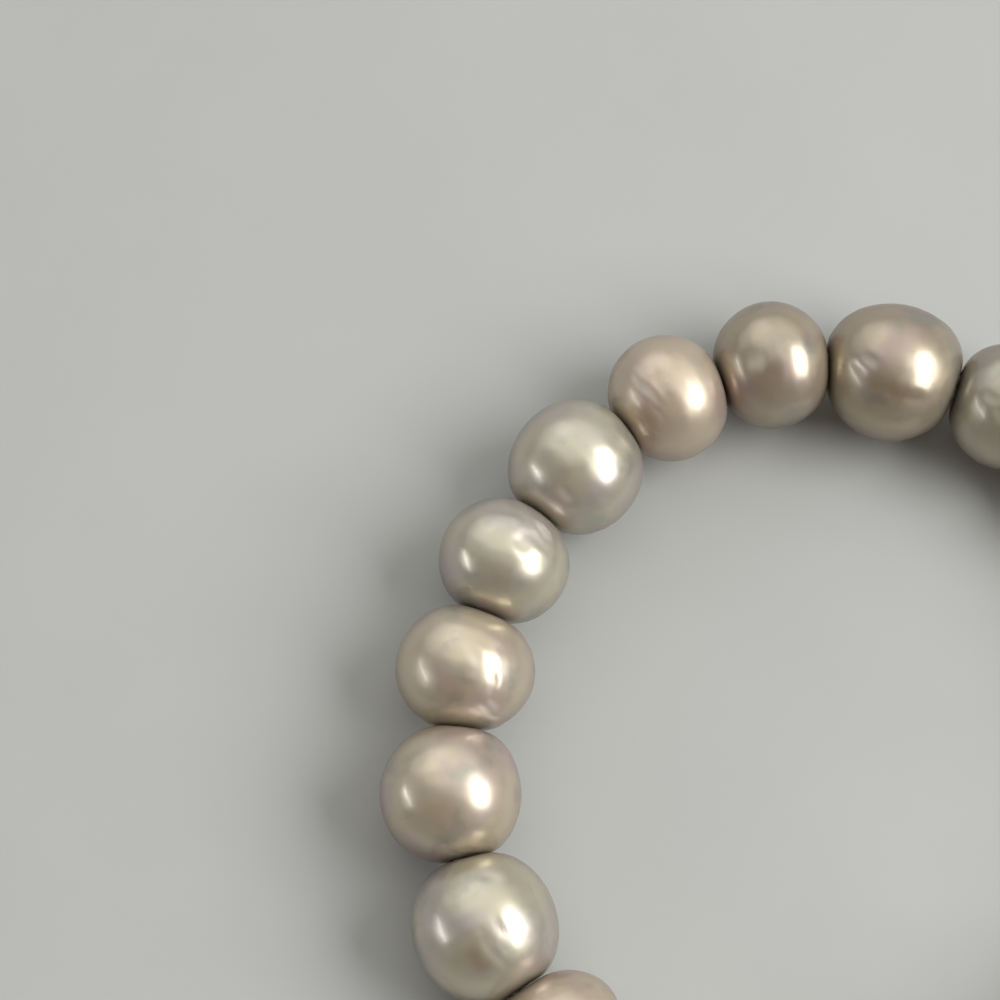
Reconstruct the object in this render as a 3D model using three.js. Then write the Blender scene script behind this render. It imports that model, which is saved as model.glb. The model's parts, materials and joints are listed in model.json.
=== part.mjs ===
// A pearl bracelet lying flat on a table: near-round pearls butted together on a stretch cord.
// Millimetres, +Z up. The origin is under the middle of the loop, on the surface that it lies on.
import * as THREE from "three";

// The loop. The pearls' drill holes are all at one height, and the points where two pearls meet
// lie on a circle with a slight three-lobed wobble, as a loop laid down by hand has.
const CORD_HEIGHT = 4.85;
const WOBBLE = 0.45;
const WOBBLE_ANGLE = THREE.MathUtils.degToRad(105);
const FIRST_MEETING_ANGLE = THREE.MathUtils.degToRad(55.4);
const CLEARANCE = 0.4;

// The loop's radius is found between these two, by halving the range again and again.
const SMALLEST_RADIUS = 15;
const LARGEST_RADIUS = 60;
const HALVINGS = 50;

// The cord and the hole that it runs in.
const CORD_RADIUS = 0.35;
const CORD_SIDES = 8;
const CORD_STEPS_PER_PEARL = 3;
const DRILL_RADIUS = 0.65;

// The outline of a pearl, from one drill mouth to the other, is a superellipse: 2 would be an
// ellipse, and a little more makes the ends blunt. Both counts leave a level facet underneath.
const BLUNTNESS = 2.25;
const OUTLINE_STEPS = 9;
const SIDES = 18;

// The pearls, anticlockwise seen from above. Length is along the cord, width is across the loop,
// and drift is how far the body's middle lies outside its drill hole.
const PEARLS = [
  { length: 8.4, width: 9.6, height: 9.4, drift: -0.1, finish: "olive" },
  { length: 9.6, width: 10.4, height: 9.9, drift: -0.4, finish: "bronze" },
  { length: 8.0, width: 9.6, height: 9.5, drift: 0.1, finish: "bronze" },
  { length: 7.9, width: 9.6, height: 9.4, drift: 0.1, finish: "rose" },
  { length: 9.1, width: 10.0, height: 9.7, drift: -0.1, finish: "silver" },
  { length: 8.2, width: 9.7, height: 9.6, drift: 0.0, finish: "silver" },
  { length: 8.4, width: 10.2, height: 9.5, drift: -0.1, finish: "champagne" },
  { length: 9.2, width: 10.2, height: 10.0, drift: 0.3, finish: "champagne" },
  { length: 9.8, width: 10.4, height: 10.1, drift: 0.1, finish: "silver" },
  { length: 7.8, width: 9.5, height: 9.5, drift: -0.6, finish: "rose" },
  { length: 9.5, width: 10.4, height: 9.9, drift: 0.1, finish: "champagne" },
  { length: 8.7, width: 9.7, height: 9.4, drift: 0.0, finish: "silver" },
  { length: 9.3, width: 10.1, height: 9.8, drift: -0.2, finish: "bronze" },
  { length: 8.9, width: 9.8, height: 9.6, drift: 0.1, finish: "rose" },
  { length: 9.7, width: 10.5, height: 10.1, drift: 0.2, finish: "champagne" },
  { length: 8.6, width: 9.6, height: 9.3, drift: 0.0, finish: "olive" },
  { length: 9.2, width: 10.0, height: 9.7, drift: -0.1, finish: "silver" },
  { length: 9.4, width: 10.2, height: 10.0, drift: 0.1, finish: "rose" },
  { length: 8.8, width: 9.8, height: 9.5, drift: 0.0, finish: "champagne" },
  { length: 9.0, width: 9.9, height: 9.6, drift: -0.2, finish: "silver" },
];

const FINISHES = {
  champagne: { color: 0xc9b79b, roughness: 0.3, metalness: 0.5 },
  rose: { color: 0xc7ad9b, roughness: 0.35, metalness: 0.5 },
  silver: { color: 0xb9b2a0, roughness: 0.25, metalness: 0.5 },
  bronze: { color: 0xa8937a, roughness: 0.28, metalness: 0.5 },
  olive: { color: 0xa39a82, roughness: 0.3, metalness: 0.5 },
  elastic: { color: 0xd8d4c8, roughness: 0.4, metalness: 0.0 },
};

const materials = Object.fromEntries(
  Object.entries(FINISHES).map(([name, look]) => [name, new THREE.MeshStandardMaterial(look)]),
);

// The point at an angle on the loop whose round part has this radius.
function loopPoint(radius, angle) {
  const r = radius + WOBBLE * Math.cos(3 * (angle - WOBBLE_ANGLE));
  return new THREE.Vector3(r * Math.cos(angle), r * Math.sin(angle), 0);
}

// Halves a range until it holds one value, where a rising function passes zero.
function solve(rising, low, high) {
  for (let i = 0; i < HALVINGS; i += 1) {
    const middle = (low + high) / 2;
    if (rising(middle) < 0) low = middle;
    else high = middle;
  }
  return (low + high) / 2;
}

// Steps round the loop, one pearl and its clearance at a time. Returns the angles where they meet.
function meetingAngles(radius) {
  const angles = [FIRST_MEETING_ANGLE];
  for (const { length } of PEARLS) {
    const start = angles.at(-1);
    const from = loopPoint(radius, start);
    const step = length + CLEARANCE;
    const overshoot = (angle) => loopPoint(radius, angle).distanceTo(from) - step;
    angles.push(solve(overshoot, start, start + 1));
  }
  return angles;
}

// The loop's radius at which the last pearl meets the first.
function closingRadius() {
  const fullTurn = 2 * Math.PI;
  const gapLeft = (radius) => fullTurn - (meetingAngles(radius).at(-1) - FIRST_MEETING_ANGLE);
  return solve(gapLeft, SMALLEST_RADIUS, LARGEST_RADIUS);
}

// Half of a pearl's section, spun round the cord: the outline from mouth to mouth and back
// through the drill hole. LatheGeometry spins about Y, so x is the radius and y runs on the cord.
function pearlSection(length, radius) {
  const power = 2 / BLUNTNESS;
  const mouth = Math.asin((DRILL_RADIUS / radius) ** (1 / power));
  const halfAxis = length / 2 / Math.cos(mouth) ** power;
  const points = [];
  for (let i = 0; i <= OUTLINE_STEPS; i += 1) {
    const t = mouth + ((Math.PI - 2 * mouth) * i) / OUTLINE_STEPS;
    const along = -Math.sign(Math.cos(t)) * Math.abs(Math.cos(t)) ** power * halfAxis;
    points.push(new THREE.Vector2(radius * Math.sin(t) ** power, along));
  }
  points.push(points[0].clone());
  return points;
}

// One pearl with its hole on the X axis. The spun form is pressed to its width and height, and its
// middle is moved off the hole, sideways by its drift and up or down so that it meets the table.
function pearlGeometry({ length, width, height, drift }) {
  const section = pearlSection(length, (width + height) / 4);
  const equator = section[(OUTLINE_STEPS + 1) / 2];
  const halfSide = Math.PI / SIDES;
  const geometry = new THREE.LatheGeometry(section, SIDES);
  // A facet's middle, not a corner, points down once the section's axis lies along X.
  geometry.rotateY(halfSide);
  geometry.rotateZ(-Math.PI / 2);

  const pressY = width / 2 / equator.x;
  const pressZ = height / 2 / Math.cos(halfSide) / equator.x;
  const bulge = (x) => 1 - ((2 * x) / length) ** 2;
  const lift = (height / 2 - CORD_HEIGHT) / bulge(equator.y);
  const position = geometry.getAttribute("position");
  const point = new THREE.Vector3();
  for (let i = 0; i < position.count; i += 1) {
    point.fromBufferAttribute(position, i);
    // The shift fades to nothing at the two mouths, which stay on the cord.
    const share = bulge(point.x);
    // Y points into the loop, so an outward drift is against it.
    position.setY(i, point.y * pressY - drift * share);
    position.setZ(i, point.z * pressZ + lift * share);
  }
  geometry.computeVertexNormals();
  return geometry;
}

// The cord is a torus drawn onto the loop. The pearls' holes are straight, and the cord is smooth,
// so it runs half of that bow inside the points where they meet.
function cordGeometry(radius) {
  const tubeSteps = CORD_STEPS_PER_PEARL * PEARLS.length;
  const geometry = new THREE.TorusGeometry(radius, CORD_RADIUS, CORD_SIDES, tubeSteps);
  const meanLength = PEARLS.reduce((sum, pearl) => sum + pearl.length, 0) / PEARLS.length;
  const halfBow = (meanLength + CLEARANCE) ** 2 / (16 * radius);
  const position = geometry.getAttribute("position");
  for (let i = 0; i < position.count; i += 1) {
    const x = position.getX(i);
    const y = position.getY(i);
    const wobble = loopPoint(radius, Math.atan2(y, x)).length() - radius;
    const stretch = 1 + (wobble - halfBow) / Math.hypot(x, y);
    position.setXY(i, x * stretch, y * stretch);
  }
  geometry.computeVertexNormals();
  return geometry;
}

function addPearls(group, radius) {
  const angles = meetingAngles(radius);
  PEARLS.forEach((pearl, i) => {
    const from = loopPoint(radius, angles[i]);
    const to = loopPoint(radius, angles[i + 1]);
    const mesh = new THREE.Mesh(pearlGeometry(pearl), materials[pearl.finish]);
    mesh.name = `pearl_${String(i + 1).padStart(2, "0")}`;
    mesh.position.copy(from).add(to).multiplyScalar(0.5);
    mesh.rotation.z = Math.atan2(to.y - from.y, to.x - from.x);
    group.add(mesh);
  });
}

// Puts the origin under the middle of the whole loop.
function centreOnTable(group) {
  group.updateMatrixWorld(true);
  const middle = new THREE.Box3().setFromObject(group, true).getCenter(new THREE.Vector3());
  group.position.set(-middle.x, -middle.y, CORD_HEIGHT);
}

const radius = closingRadius();
const bracelet = new THREE.Group();
addPearls(bracelet, radius);

const cord = new THREE.Mesh(cordGeometry(radius), materials.elastic);
cord.name = "elastic_cord";
bracelet.add(cord);

centreOnTable(bracelet);

export default bracelet;
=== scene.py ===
# %% [markdown]
# # A pearl bracelet on a stretch cord
#
# Twenty near-round pearls are threaded on a ring of elastic cord, so tightly that they touch. The
# finished loop lies flat on a pale table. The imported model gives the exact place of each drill
# hole and the size of each pearl. This script makes the pearls and the cord in full detail.

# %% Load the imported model
import json
import math

import bmesh
import bpy
from mathutils import Matrix, Vector, noise


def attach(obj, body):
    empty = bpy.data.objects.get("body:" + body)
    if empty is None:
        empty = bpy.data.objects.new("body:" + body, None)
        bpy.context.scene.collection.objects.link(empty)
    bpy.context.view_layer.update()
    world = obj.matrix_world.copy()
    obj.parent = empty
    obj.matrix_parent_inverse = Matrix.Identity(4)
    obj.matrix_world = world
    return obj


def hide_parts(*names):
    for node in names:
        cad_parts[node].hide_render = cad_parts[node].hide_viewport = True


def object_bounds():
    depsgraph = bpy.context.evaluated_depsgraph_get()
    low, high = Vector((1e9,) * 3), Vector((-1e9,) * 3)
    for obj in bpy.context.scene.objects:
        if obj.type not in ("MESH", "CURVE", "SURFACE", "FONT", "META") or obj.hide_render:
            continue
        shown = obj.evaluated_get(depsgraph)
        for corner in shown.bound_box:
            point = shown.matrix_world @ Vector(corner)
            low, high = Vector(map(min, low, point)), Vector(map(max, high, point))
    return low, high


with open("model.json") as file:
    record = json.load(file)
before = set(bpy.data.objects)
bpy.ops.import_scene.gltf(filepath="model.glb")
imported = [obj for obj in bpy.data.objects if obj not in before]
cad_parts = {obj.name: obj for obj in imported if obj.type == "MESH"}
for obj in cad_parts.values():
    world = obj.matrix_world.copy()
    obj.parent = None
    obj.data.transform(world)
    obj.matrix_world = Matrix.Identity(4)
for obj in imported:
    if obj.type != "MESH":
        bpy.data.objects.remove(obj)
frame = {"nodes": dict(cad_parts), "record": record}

MM = 0.001
cad_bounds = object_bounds()
low_corner, high_corner = cad_bounds
pearl_names = sorted(name for name in frame["nodes"] if name.startswith("pearl_"))
print("pearls:", len(pearl_names), "loop size in mm:", [round(v / MM, 1) for v in high_corner - low_corner])

# %% [markdown]
# ## The camera
#
# The camera looks down steeply from the near side. It aims at the far left part of the loop, and
# it is close enough for single pearls to fill a good part of the picture. A long lens keeps the
# pearls' shapes true.

# %% Place the camera
CAMERA_TILT = math.radians(75)
CAMERA_DISTANCE = 180 * MM
CAMERA_LENS = 87.45
AIM = Vector((-25.55 * MM, 18.48 * MM, 5 * MM))

towards_camera = Vector((0, -math.cos(CAMERA_TILT), math.sin(CAMERA_TILT)))
camera_data = bpy.data.cameras.new("camera")
camera_data.lens = CAMERA_LENS
camera_data.clip_start = 5 * MM
camera = bpy.data.objects.new("camera", camera_data)
camera.location = AIM + towards_camera * CAMERA_DISTANCE
camera.rotation_euler = towards_camera.to_track_quat("Z", "Y").to_euler()
bpy.context.collection.objects.link(camera)
bpy.context.scene.camera = camera
print("camera at", [round(v, 3) for v in camera.location])

# %% [markdown]
# ## Where each pearl sits
#
# The longest edges of a pearl's solid run through its drill hole from mouth to mouth. Their ends,
# averaged at each side, are the middles of the two mouths. The line between them is the pearl's
# own X axis. Y points into the loop and Z points up.

# %% Find the drill hole of a pearl
def drill_mouths(node):
    mesh = frame["nodes"][node].data
    ends = [(mesh.vertices[e.vertices[0]].co, mesh.vertices[e.vertices[1]].co) for e in mesh.edges]
    longest = max((a - b).length for a, b in ends)
    through = [pair for pair in ends if (pair[0] - pair[1]).length > 0.95 * longest]
    along = through[0][1] - through[0][0]
    middle = sum((a + b for a, b in through), Vector()) / (2 * len(through))
    points = [p for pair in through for p in pair]
    front = [p for p in points if (p - middle).dot(along) > 0]
    back = [p for p in points if (p - middle).dot(along) <= 0]
    mouths = [sum(side, Vector()) / len(side) for side in (back, front)]
    up = middle.cross(along).z
    return mouths if up > 0 else mouths[::-1]


def pearl_seat(node):
    start, end = drill_mouths(node)
    x_axis = (end - start).normalized()
    y_axis = Vector((0, 0, 1)).cross(x_axis)
    turn = Matrix((x_axis, y_axis, (0, 0, 1))).transposed().to_4x4()
    place = Matrix.Translation((start + end) / 2) @ turn
    inside = place.inverted()
    corners = [inside @ v.co for v in frame["nodes"][node].data.vertices]
    low = Vector(min(c[i] for c in corners) for i in range(3))
    high = Vector(max(c[i] for c in corners) for i in range(3))
    return {
        "name": node,
        "place": place,
        "length": (end - start).length,
        "size": high - low,
        "middle": (low + high) / 2,
    }


seats = [pearl_seat(name) for name in pearl_names]
for seat in seats:
    print(seat["name"], "length, width, height:", [round(v / MM, 2) for v in seat["size"]])

# %% [markdown]
# ## The form of a pearl
#
# A pearl can be thrown like a pot: half of its outline, from one drill mouth to the other, is
# spun round the drill hole. The outline is an ellipse, softly cut short at both ends, because
# tightly threaded pearls wear a small flat round each mouth. The same spin also makes the wall
# of the drill hole. One plain pearl is spun once, and each real pearl starts as a copy of it.

# %% Spin the plain pearl
UNCUT_LENGTH = 1.025
CUT_SOFTNESS = 10
OUTLINE_STEPS = 84
BORE_STEPS = 10
SPIN_STEPS = 132
BORE_SHARE = 0.13
RIM_SHARE = 0.02


def cut_short(x):
    """Leaves the middle of the ellipse as it is, and bends its ends to stay inside 1."""
    limit = abs(x) ** CUT_SOFTNESS
    return x / (1 + limit) ** (1 / CUT_SOFTNESS)


def plain_pearl():
    """A pearl one unit long and wide each way from its middle, with its hole on X."""
    mouth = math.asin(BORE_SHARE)
    end = cut_short(UNCUT_LENGTH * math.cos(mouth))
    outline = []
    for step in range(OUTLINE_STEPS + 1):
        t = mouth + (math.pi - 2 * mouth) * step / OUTLINE_STEPS
        outline.append((-cut_short(UNCUT_LENGTH * math.cos(t)) / end, math.sin(t)))
    for step in range(1, BORE_STEPS):
        outline.append((1 - 2 * step / BORE_STEPS, BORE_SHARE))

    bm = bmesh.new()
    ring = [bm.verts.new((x, 0, r)) for x, r in outline]
    edges = [bm.edges.new((ring[i], ring[(i + 1) % len(ring)])) for i in range(len(ring))]
    bmesh.ops.spin(
        bm, geom=ring + edges, axis=(1, 0, 0), cent=(0, 0, 0),
        angle=2 * math.pi, steps=SPIN_STEPS, use_merge=True,
    )
    bmesh.ops.remove_doubles(bm, verts=bm.verts, dist=1e-5)
    rims = [e for e in bm.edges if all(is_mouth(v.co) for v in e.verts)]
    bmesh.ops.bevel(
        bm, geom=rims, offset=RIM_SHARE, offset_type="OFFSET", affect="EDGES",
        segments=3, profile=0.5, material=-1,
    )
    bmesh.ops.recalc_face_normals(bm, faces=bm.faces)
    return bm


def is_mouth(point):
    return abs(point.x) > 0.999 and math.hypot(point.y, point.z) < BORE_SHARE * 1.01


plain = plain_pearl()
print("plain pearl:", len(plain.verts), "points and", len(plain.faces), "faces")

# %% [markdown]
# ## What makes each pearl its own
#
# No two pearls are alike. A slow noise swells and hollows the round form, and faint rings run
# round the drill axis where the pearl turned while it grew. Both are moves of the points along
# the outward direction, so the shape stays closed.

# %% Grow the skin
PROUD = 0.17 * MM
SWELL = 0.07 * MM
RIPPLE = 0.012 * MM
RING_HEIGHT = 0.004 * MM


def growth(direction, seed):
    """How far the skin stands out from the round form, at a direction from the middle."""
    shift = Vector((seed * 3.7, seed * 1.9, seed * 5.3))
    swell = noise.noise(direction * 1.3 + shift) * SWELL
    ripple = noise.noise(direction * 4.1 - shift) * RIPPLE
    rings = math.sin(direction.x * 24 + 3 * noise.noise(direction * 2 + shift)) * RING_HEIGHT
    return swell + ripple + rings


# %% [markdown]
# ## Dents and creases
#
# Some pearls have a dimple, a crease or a small step where the nacre folded. Each is a row in
# a table: where its middle is, in pearl radii to the right and up as the viewer sees the pearl,
# how it is turned, how long and wide it is, how deep, and how high a lip stands beside it. The
# last number says how much paler the nacre is painted there, or browner when it is below zero.
# The brown is painted shade in creases, below a dent and on the lower left of a pearl. Some pale
# marks are painted highlights, and the rest are the nacre's own pale streaks and scratches. A
# mark follows bell-shaped curves, so it has no hard edge.

# %% List the marks
MARK_COLUMNS = ("right", "up", "turn", "length", "width", "depth", "lip", "pale")
MARKS = {
    "pearl_01": [
        (-0.50, 0.12, -40, 0.16, 0.07, 0.04, 0.4, 0.4),
        (-0.38, -0.16, -40, 0.14, 0.07, 0.04, 0.4, 0.4),
    ],
    "pearl_02": [
        # The brown along this crease is painted shade.
        (-0.06, -0.34, -18, 0.42, 0.09, 0.08, 0.5, -0.55),
        (-0.46, 0.12, -40, 0.14, 0.07, 0.05, 0.6, 0.5),
        (-0.60, 0.02, -40, 0.14, 0.07, 0.05, 0.4, 0.5),
    ],
    "pearl_03": [
        # The paler spot in this dimple is a painted reflection, and the brown below it is painted shade.
        (-0.38, 0.00, 0, 0.17, 0.17, 0.12, 0.2, 0.5),
        (-0.20, -0.24, 20, 0.20, 0.12, 0.05, 0.3, -0.3),
    ],
    "pearl_04": [
        (-0.52, 0.12, -46, 0.26, 0.06, 0.035, 0.8, 0.35),
        (-0.36, 0.02, -50, 0.22, 0.05, 0.030, 0.8, 0.35),
        (-0.30, -0.26, -44, 0.18, 0.05, 0.030, 0.8, 0.30),
        # The brown patch on the lower left is painted shade.
        (-0.50, -0.32, -40, 0.24, 0.15, 0.020, 0.2, -0.55),
    ],
    # The pale streak of this small crease is a painted highlight.
    "pearl_05": [(-0.22, -0.42, -42, 0.15, 0.08, 0.07, 0.5, 0.6)],
    "pearl_06": [
        (0.36, 0.40, 40, 0.26, 0.20, 0.17, 0.2, 0.1),
        # The pale streak on the far rim of the dent is a painted highlight.
        (0.60, 0.50, -52, 0.16, 0.06, 0.06, 0.6, 0.6),
    ],
    "pearl_07": [
        (0.10, 0.34, -58, 0.24, 0.08, 0.045, 0.6, 0.25),
        # The brown in this thin crease is painted shade.
        (0.40, 0.02, -87, 0.34, 0.05, 0.06, 0.6, -0.4),
        (0.31, -0.66, -58, 0.24, 0.05, 0.045, 0.6, 1.0),
        (0.38, -0.50, -64, 0.13, 0.05, 0.03, 0.5, 0.6),
    ],
    "pearl_08": [(0.02, -0.78, -40, 0.16, 0.05, 0.03, 0.5, 0.4)],
    "pearl_09": [
        (0.20, 0.20, -54, 0.18, 0.05, 0.040, 0.7, 0.40),
        (0.02, 0.04, -50, 0.18, 0.05, 0.025, 0.7, 0.30),
        (0.10, -0.18, -52, 0.26, 0.05, 0.040, 0.7, 0.50),
        # The brown below the creases is painted shade.
        (-0.08, -0.28, -46, 0.20, 0.10, 0.020, 0.5, -0.50),
        (0.10, 0.80, -24, 0.16, 0.08, 0.020, 0.4, 0.6),
    ],
    "pearl_10": [(0.20, 0.20, -30, 0.20, 0.15, 0.05, 0.2, 0.1)],
}
view_right = Vector((1, 0, 0))
view_up = towards_camera.cross(view_right)


def placed_marks(node):
    """The marks of a pearl with their directions from its middle worked out."""
    placed = []
    for row in MARKS.get(node, []):
        mark = dict(zip(MARK_COLUMNS, row))
        right, up = mark["right"], mark["up"]
        facing = view_right * right + view_up * up
        facing += towards_camera * math.sqrt(1 - right ** 2 - up ** 2)
        level = (view_right - facing * view_right.dot(facing)).normalized()
        spin = Matrix.Rotation(math.radians(mark["turn"]), 3, facing)
        mark["facing"] = facing
        mark["along"] = spin @ level
        mark["across"] = facing.cross(mark["along"])
        placed.append(mark)
    return placed


def mark_effect(direction, marks):
    """How deep the skin is pushed in at a direction, and how much paler it is there, with painted
    highlights among the pale and painted shade below zero.
    """
    depth, pale = 0, 0
    for mark in marks:
        if direction.dot(mark["facing"]) < 0.2:
            continue
        u = direction.dot(mark["along"]) / mark["length"]
        waver = 0.04 * noise.noise(direction * 5)
        v = (direction.dot(mark["across"]) + waver) / mark["width"]
        middle = math.exp(-u ** 4 - v * v)
        side = math.exp(-u ** 4 - (v - 1.7) ** 2)
        depth += mark["depth"] * MM * (middle - mark["lip"] * side)
        pale += mark["pale"] * middle
    return depth, pale


print("marks:", sum(len(rows) for rows in MARKS.values()), "on", len(MARKS), "pearls")

# %% [markdown]
# ## Shape each pearl
#
# The plain pearl is stretched to its size, its skin is grown and marked, and its middle is moved
# off the drill hole as in the model. Pearls that are threaded tightly lean on each other with
# the flat parts round their mouths, so the ends are made slightly wedge-shaped to fit the loop.

# %% Shape one pearl from its seat
LEAN_REACH = 1.9 * MM
loop_radius = sum(seat["place"].translation.to_2d().length for seat in seats) / len(seats)


def lean(point):
    """Shortens a pearl's ends on the inner side of the loop, and lengthens them outside."""
    reach = math.hypot(point.y, point.z) / LEAN_REACH
    return point.x * (1 - point.y / loop_radius / (1 + reach ** 4))


def shape_pearl(bm, seat, seed):
    half = Vector((seat["length"] / 2 + PROUD, seat["size"].y / 2, seat["size"].z / 2))
    rest_height = seat["place"].translation.z
    turn = seat["place"].to_3x3()
    marks = placed_marks(seat["name"])
    # This layer holds how much paler each point is painted: the nacre's own pale marks and painted
    # highlights, and below zero painted shade.
    wear_and_painted_light = bm.verts.layers.float.new("wear_and_painted_light")
    for v in bm.verts:
        unit = v.co.copy()
        radius = math.hypot(unit.y, unit.z)
        free = min(1, max(0, (radius - BORE_SHARE) / 0.35))
        point = Vector((unit.x * half.x, unit.y * half.y, unit.z * half.z))
        outward = unit.normalized()
        depth, v[wear_and_painted_light] = mark_effect(turn @ outward, marks)
        point += outward * (growth(outward, seed) - depth) * free
        point.x = lean(point)
        share = (1 - unit.x ** 2) * free
        point.y += seat["middle"].y * share
        point.z += seat["middle"].z * share
        point.z = max(point.z, -rest_height)
        v.co = point
    bm.transform(seat["place"])


def make_pearl(seat, seed):
    bm = plain.copy()
    shape_pearl(bm, seat, seed)
    mesh = bpy.data.meshes.new(seat["name"])
    bm.to_mesh(mesh)
    bm.free()
    mesh.shade_smooth()
    node = seat["name"]
    piece = bpy.data.objects.new("nacre_" + node, mesh)
    bpy.context.collection.objects.link(piece)
    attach(piece, "root")
    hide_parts(node)
    return piece


slots = {row["node"]: row["material_slot"] for row in frame["record"]["subparts"]}
pearls = [make_pearl(seat, seed) for seed, seat in enumerate(seats, start=1)]
plain.free()
print("pearls made:", len(pearls), "with", sum(len(p.data.polygons) for p in pearls), "faces")

# %% [markdown]
# ## The cord
#
# The cord is milky elastic. It runs straight through each drill hole and bends a little in each
# gap, so its line has a knot at both mouths of every hole, with handles along the hole. A curve
# object gives that line, and a round bevel gives its thickness.

# %% Thread the cord
CORD_RADIUS = 0.33 * MM
GAP_HANDLE = 0.12 * MM


def make_cord():
    curve = bpy.data.curves.new("elastic_cord", "CURVE")
    curve.dimensions = "3D"
    curve.bevel_depth = CORD_RADIUS
    curve.bevel_resolution = 4
    curve.resolution_u = 6
    line = curve.splines.new("BEZIER")
    line.use_cyclic_u = True
    line.bezier_points.add(2 * len(seats) - 1)
    for number, seat in enumerate(seats):
        inside = seat["length"] / 3
        reaches = ((-1, GAP_HANDLE, inside), (1, inside, GAP_HANDLE))
        for knot, (side, before, after) in zip(line.bezier_points[2 * number:], reaches):
            x = side * seat["length"] / 2
            knot.co = seat["place"] @ Vector((x, 0, 0))
            knot.handle_left = seat["place"] @ Vector((x - before, 0, 0))
            knot.handle_right = seat["place"] @ Vector((x + after, 0, 0))
    cord = bpy.data.objects.new("stretch_cord", curve)
    bpy.context.collection.objects.link(cord)
    return cord


def as_mesh(obj):
    bpy.context.view_layer.update()
    shape = obj.evaluated_get(bpy.context.evaluated_depsgraph_get())
    mesh = bpy.data.meshes.new_from_object(shape)
    done = bpy.data.objects.new(obj.name, mesh)
    bpy.data.objects.remove(obj)
    bpy.context.collection.objects.link(done)
    mesh.shade_smooth()
    return done


cord = as_mesh(make_cord())
cord.name = "stretch_cord"
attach(cord, "root")
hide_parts("elastic_cord")
print("cord faces:", len(cord.data.polygons))

# %% [markdown]
# ## The finish of nacre
#
# Nacre is made of thin layers that send light back from inside, so it looks like soft metal
# under a clear gloss. The Principled shader can do both: a part-metal body with some blur, and a
# coat that is almost sharp on top. Each pearl has a body colour with clouds of a second colour.

# %% Helpers for materials
def cloud(nodes, links, coords, scale, detail, low, high):
    """A noise pattern, spread to run from 0 to 1 between two of its levels."""
    pattern = nodes.new("ShaderNodeTexNoise")
    pattern.inputs["Scale"].default_value = scale
    pattern.inputs["Detail"].default_value = detail
    links.new(coords, pattern.inputs["Vector"])
    spread = nodes.new("ShaderNodeMapRange")
    spread.interpolation_type = "SMOOTHSTEP"
    spread.inputs["From Min"].default_value = low
    spread.inputs["From Max"].default_value = high
    links.new(pattern.outputs["Fac"], spread.inputs["Value"])
    return spread.outputs["Result"]


def colour_mix(nodes, links, factor, low, high):
    """Blends two colours, each a colour value or the output of another node."""
    mix = nodes.new("ShaderNodeMix")
    mix.data_type = "RGBA"
    links.new(factor, mix.inputs["Factor"])
    for socket, colour in (("A", low), ("B", high)):
        if isinstance(colour, tuple):
            mix.inputs[socket].default_value = (*colour, 1)
        else:
            links.new(colour, mix.inputs[socket])
    return mix.outputs["Result"]


# %% Mix the nacre
# The pale colour is both the nacre's own pale streaks and scratches and painted highlights. The brown is
# painted shade.
PALE = (0.86, 0.80, 0.70)
PAINTED_SHADE_BROWN = (0.36, 0.26, 0.17)


def nacre(name, body, blush, shade, blur):
    material = bpy.data.materials.new(name)
    material.use_nodes = True
    nodes, links = material.node_tree.nodes, material.node_tree.links
    shader = nodes["Principled BSDF"]
    coords = nodes.new("ShaderNodeTexCoord").outputs["Object"]

    rosy = cloud(nodes, links, coords, 210, 2, 0.42, 0.66)
    smoky = cloud(nodes, links, coords, 330, 4, 0.50, 0.74)
    tint = colour_mix(nodes, links, rosy, body, blush)
    tint = colour_mix(nodes, links, smoky, tint, shade)
    # The attribute from the pearl mesh paints the marks: paler for pale marks and painted highlights,
    # browner for painted shade.
    wear_and_painted_light = nodes.new("ShaderNodeAttribute")
    wear_and_painted_light.attribute_name = "wear_and_painted_light"
    tint = colour_mix(nodes, links, wear_and_painted_light.outputs["Fac"], tint, PALE)
    # Where the attribute is below zero, it paints shade in brown.
    painted_shade = nodes.new("ShaderNodeMath")
    painted_shade.operation = "MULTIPLY"
    painted_shade.inputs[1].default_value = -1
    links.new(wear_and_painted_light.outputs["Fac"], painted_shade.inputs[0])
    tint = colour_mix(nodes, links, painted_shade.outputs["Value"], tint, PAINTED_SHADE_BROWN)
    links.new(tint, shader.inputs["Base Color"])

    dull = cloud(nodes, links, coords, 900, 3, 0.35, 0.75)
    spread = nodes.new("ShaderNodeMapRange")
    spread.inputs["To Min"].default_value = blur
    spread.inputs["To Max"].default_value = blur + 0.08
    links.new(dull, spread.inputs["Value"])
    links.new(spread.outputs["Result"], shader.inputs["Roughness"])

    skin = nodes.new("ShaderNodeTexNoise")
    skin.inputs["Scale"].default_value = 1500
    skin.inputs["Detail"].default_value = 3
    links.new(coords, skin.inputs["Vector"])
    bump = nodes.new("ShaderNodeBump")
    bump.inputs["Strength"].default_value = 0.05
    bump.inputs["Distance"].default_value = 0.05 * MM
    links.new(skin.outputs["Fac"], bump.inputs["Height"])
    links.new(bump.outputs["Normal"], shader.inputs["Normal"])

    shader.inputs["Metallic"].default_value = 0.60
    shader.inputs["Specular Tint"].default_value = (0.22, 0.17, 0.22, 1)
    shader.inputs["Subsurface Weight"].default_value = 0.5
    shader.inputs["Subsurface Radius"].default_value = (1.0, 0.75, 0.55)
    shader.inputs["Subsurface Scale"].default_value = 1.2 * MM
    shader.inputs["Coat Weight"].default_value = 0.65
    shader.inputs["Coat Roughness"].default_value = 0.16
    return material


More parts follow.
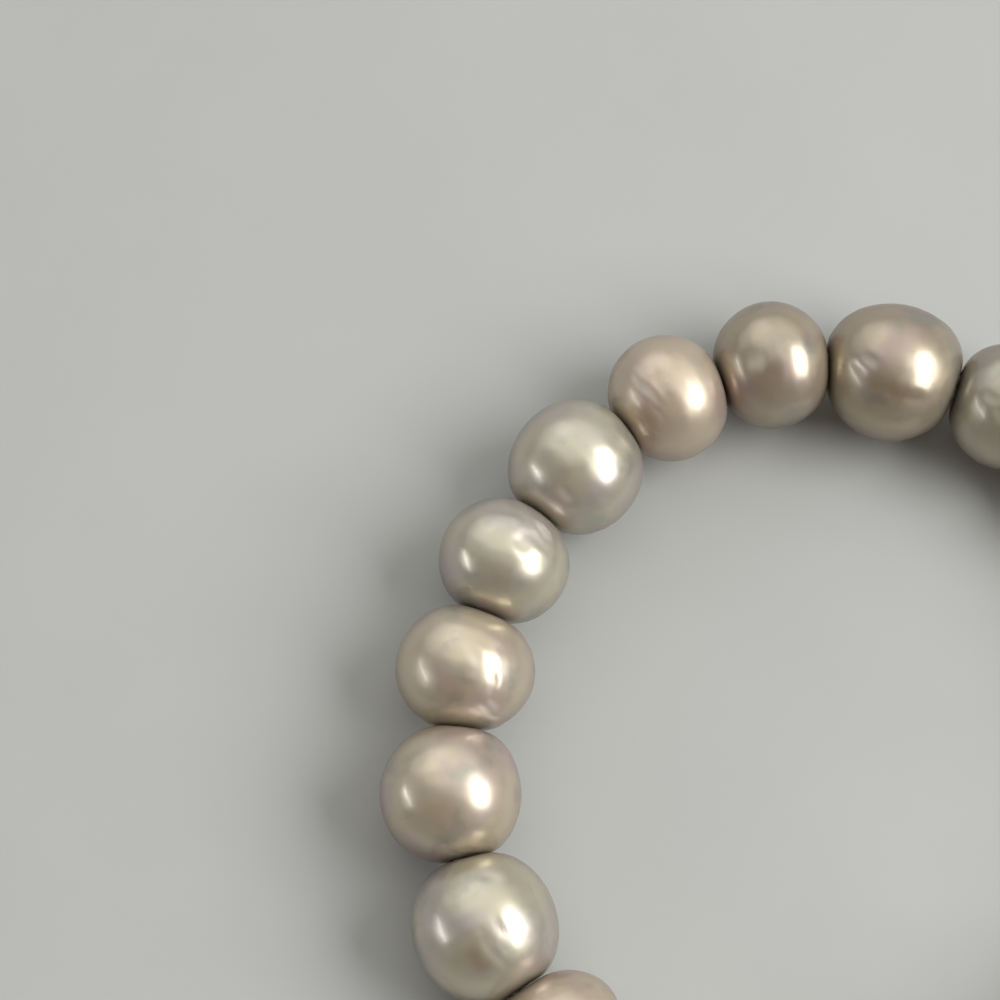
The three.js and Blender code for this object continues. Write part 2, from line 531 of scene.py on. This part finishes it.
LOOK_COLUMNS = ("body", "blush", "shade", "blur")
LOOKS = {
    "pearl_champagne": ((0.57, 0.50, 0.38), (0.54, 0.45, 0.40), (0.42, 0.40, 0.33), 0.32),
    "pearl_rose": ((0.58, 0.50, 0.385), (0.55, 0.45, 0.385), (0.45, 0.36, 0.28), 0.38),
    "pearl_silver": ((0.555, 0.52, 0.405), (0.51, 0.46, 0.42), (0.41, 0.415, 0.355), 0.30),
    "pearl_bronze": ((0.44, 0.38, 0.285), (0.415, 0.335, 0.29), (0.33, 0.31, 0.26), 0.32),
    "pearl_olive": ((0.44, 0.415, 0.32), (0.41, 0.365, 0.31), (0.33, 0.335, 0.285), 0.33),
}
finishes = {slot: nacre(slot, **dict(zip(LOOK_COLUMNS, look))) for slot, look in LOOKS.items()}
for pearl, seat in zip(pearls, seats):
    pearl.data.materials.append(finishes[slots[seat["name"]]])
print("finishes:", sorted(finishes))

# %% [markdown]
# ## The finish of the cord
#
# Stretch cord is milky and lets some light through. It is drawn out of a nozzle, so fine
# streaks run along it, and its sheen changes a little from place to place.

# %% Mix the elastic
def milky_elastic():
    material = bpy.data.materials.new("elastic")
    material.use_nodes = True
    nodes, links = material.node_tree.nodes, material.node_tree.links
    shader = nodes["Principled BSDF"]
    coords = nodes.new("ShaderNodeTexCoord").outputs["Object"]

    milky = cloud(nodes, links, coords, 700, 3, 0.35, 0.65)
    tint = colour_mix(nodes, links, milky, (0.80, 0.78, 0.72), (0.62, 0.60, 0.54))
    links.new(tint, shader.inputs["Base Color"])
    sheen = nodes.new("ShaderNodeMapRange")
    sheen.inputs["To Min"].default_value = 0.28
    sheen.inputs["To Max"].default_value = 0.46
    links.new(milky, sheen.inputs["Value"])
    links.new(sheen.outputs["Result"], shader.inputs["Roughness"])

    streaks = nodes.new("ShaderNodeTexNoise")
    streaks.inputs["Scale"].default_value = 5000
    links.new(coords, streaks.inputs["Vector"])
    bump = nodes.new("ShaderNodeBump")
    bump.inputs["Strength"].default_value = 0.2
    bump.inputs["Distance"].default_value = 0.02 * MM
    links.new(streaks.outputs["Fac"], bump.inputs["Height"])
    links.new(bump.outputs["Normal"], shader.inputs["Normal"])

    shader.inputs["Transmission Weight"].default_value = 0.3
    shader.inputs["IOR"].default_value = 1.5
    return material


cord.data.materials.append(milky_elastic())
print("cord finish mixed")

# %% [markdown]
# ## The table
#
# The bracelet lies on a plain pale grey table.

# %% Lay the table
TABLE_SIZE = 5

bm = bmesh.new()
bmesh.ops.create_grid(bm, x_segments=1, y_segments=1, size=TABLE_SIZE / 2)
table_mesh = bpy.data.meshes.new("table")
bm.to_mesh(table_mesh)
bm.free()
table = bpy.data.objects.new("table", table_mesh)
bpy.context.collection.objects.link(table)
table_material = bpy.data.materials.new("table")
table_material.use_nodes = True
nodes, links = table_material.node_tree.nodes, table_material.node_tree.links
table_shader = nodes["Principled BSDF"]
table_coords = nodes.new("ShaderNodeTexCoord").outputs["Object"]
mottle = cloud(nodes, links, table_coords, 60, 5, 0.30, 0.70)
table_tint = colour_mix(nodes, links, mottle, (0.436, 0.450, 0.443), (0.448, 0.462, 0.455))
links.new(table_tint, table_shader.inputs["Base Color"])
table_shader.inputs["Roughness"].default_value = 0.7
table_shader.inputs["Specular IOR Level"].default_value = 0.2
table_mesh.materials.append(table_material)

# %% [markdown]
# ## The light
#
# Pearls show the room that they are in. A window stands to the right, a narrow gap of light is
# low on the left, a wide soft glow comes from behind, and a dark shape stands over the near side.

# %% Hang the lights
def hang_light(name, direction, long_way, distance, length, width, power, colour):
    """An oval light that faces the origin, with its length along the given way."""
    data = bpy.data.lights.new(name, "AREA")
    data.shape = "ELLIPSE"
    data.size = length
    data.size_y = width
    data.energy = power
    data.color = colour
    light = bpy.data.objects.new(name, data)
    back = Vector(direction).normalized()
    across = back.cross(Vector(long_way)).normalized()
    light.rotation_euler = Matrix((across.cross(back), across, back)).transposed().to_euler()
    light.location = back * distance
    bpy.context.collection.objects.link(light)
    return light


hang_light(
    "window", direction=(0.73, -0.05, 0.68), long_way=(0.23, -0.83, -0.31), distance=0.6,
    length=0.60, width=0.36, power=3.6, colour=(1.0, 0.99, 0.97),
)
hang_light(
    "window_wall", direction=(0.73, -0.05, 0.68), long_way=(0.23, -0.83, -0.31), distance=0.65,
    length=0.95, width=0.75, power=0.2, colour=(1.0, 0.99, 0.98),
)
hang_light(
    "far_wall", direction=(-0.50, 0.72, 0.48), long_way=(0.8, 0.6, 0), distance=0.8,
    length=0.9, width=0.6, power=0.7, colour=(1.0, 1.0, 1.0),
)
hang_light(
    "gap", direction=(-0.89, -0.10, 0.31), long_way=(0.12, -0.61, 0.15), distance=0.6,
    length=0.36, width=0.03, power=0.35, colour=(0.95, 0.97, 1.0),
)

# %% [markdown]
# ## The room
#
# The rest of the room is a smooth world: light walls and ceiling behind, a darker near side, and
# a dark soft shape where somebody leans over the table. Each part is the angle to one direction,
# turned into a soft patch.

# %% Paint the room
world = bpy.data.worlds.new("room")
bpy.context.scene.world = world
world.use_nodes = True
world_nodes, world_links = world.node_tree.nodes, world.node_tree.links
background = world_nodes["Background"]
room_direction = world_nodes.new("ShaderNodeTexCoord").outputs["Generated"]


def room_patch(direction, edge, full):
    """1 inside a round patch of the room and 0 outside, from its cosines at edge and middle."""
    angle = world_nodes.new("ShaderNodeVectorMath")
    angle.operation = "DOT_PRODUCT"
    angle.inputs[1].default_value = Vector(direction).normalized()
    world_links.new(room_direction, angle.inputs[0])
    soft = world_nodes.new("ShaderNodeMapRange")
    soft.interpolation_type = "SMOOTHSTEP"
    soft.inputs["From Min"].default_value = edge
    soft.inputs["From Max"].default_value = full
    world_links.new(angle.outputs["Value"], soft.inputs["Value"])
    return soft.outputs["Result"]


def tint_room(below, direction, edge, full, colour):
    """Lays one coloured patch over the room so far."""
    mix = world_nodes.new("ShaderNodeMix")
    mix.data_type = "RGBA"
    mix.inputs["B"].default_value = (*colour, 1)
    world_links.new(room_patch(direction, edge, full), mix.inputs["Factor"])
    if isinstance(below, tuple):
        mix.inputs["A"].default_value = (*below, 1)
    else:
        world_links.new(below, mix.inputs["A"])
    return mix.outputs["Result"]


room = tint_room((0.20, 0.20, 0.21), (0.03, 0.60, 0.80), 0.60, 0.97, (1.30, 1.28, 1.22))
room = tint_room(room, (0, 0, -1), -0.42, -0.05, (0.26, 0.26, 0.26))
room = tint_room(room, (-0.18, -0.64, 0.74), 0.76, 0.97, (0.17, 0.11, 0.05))
world_links.new(room, background.inputs["Color"])
background.inputs["Strength"].default_value = 0.95
bpy.context.scene.view_settings.view_transform = "Standard"
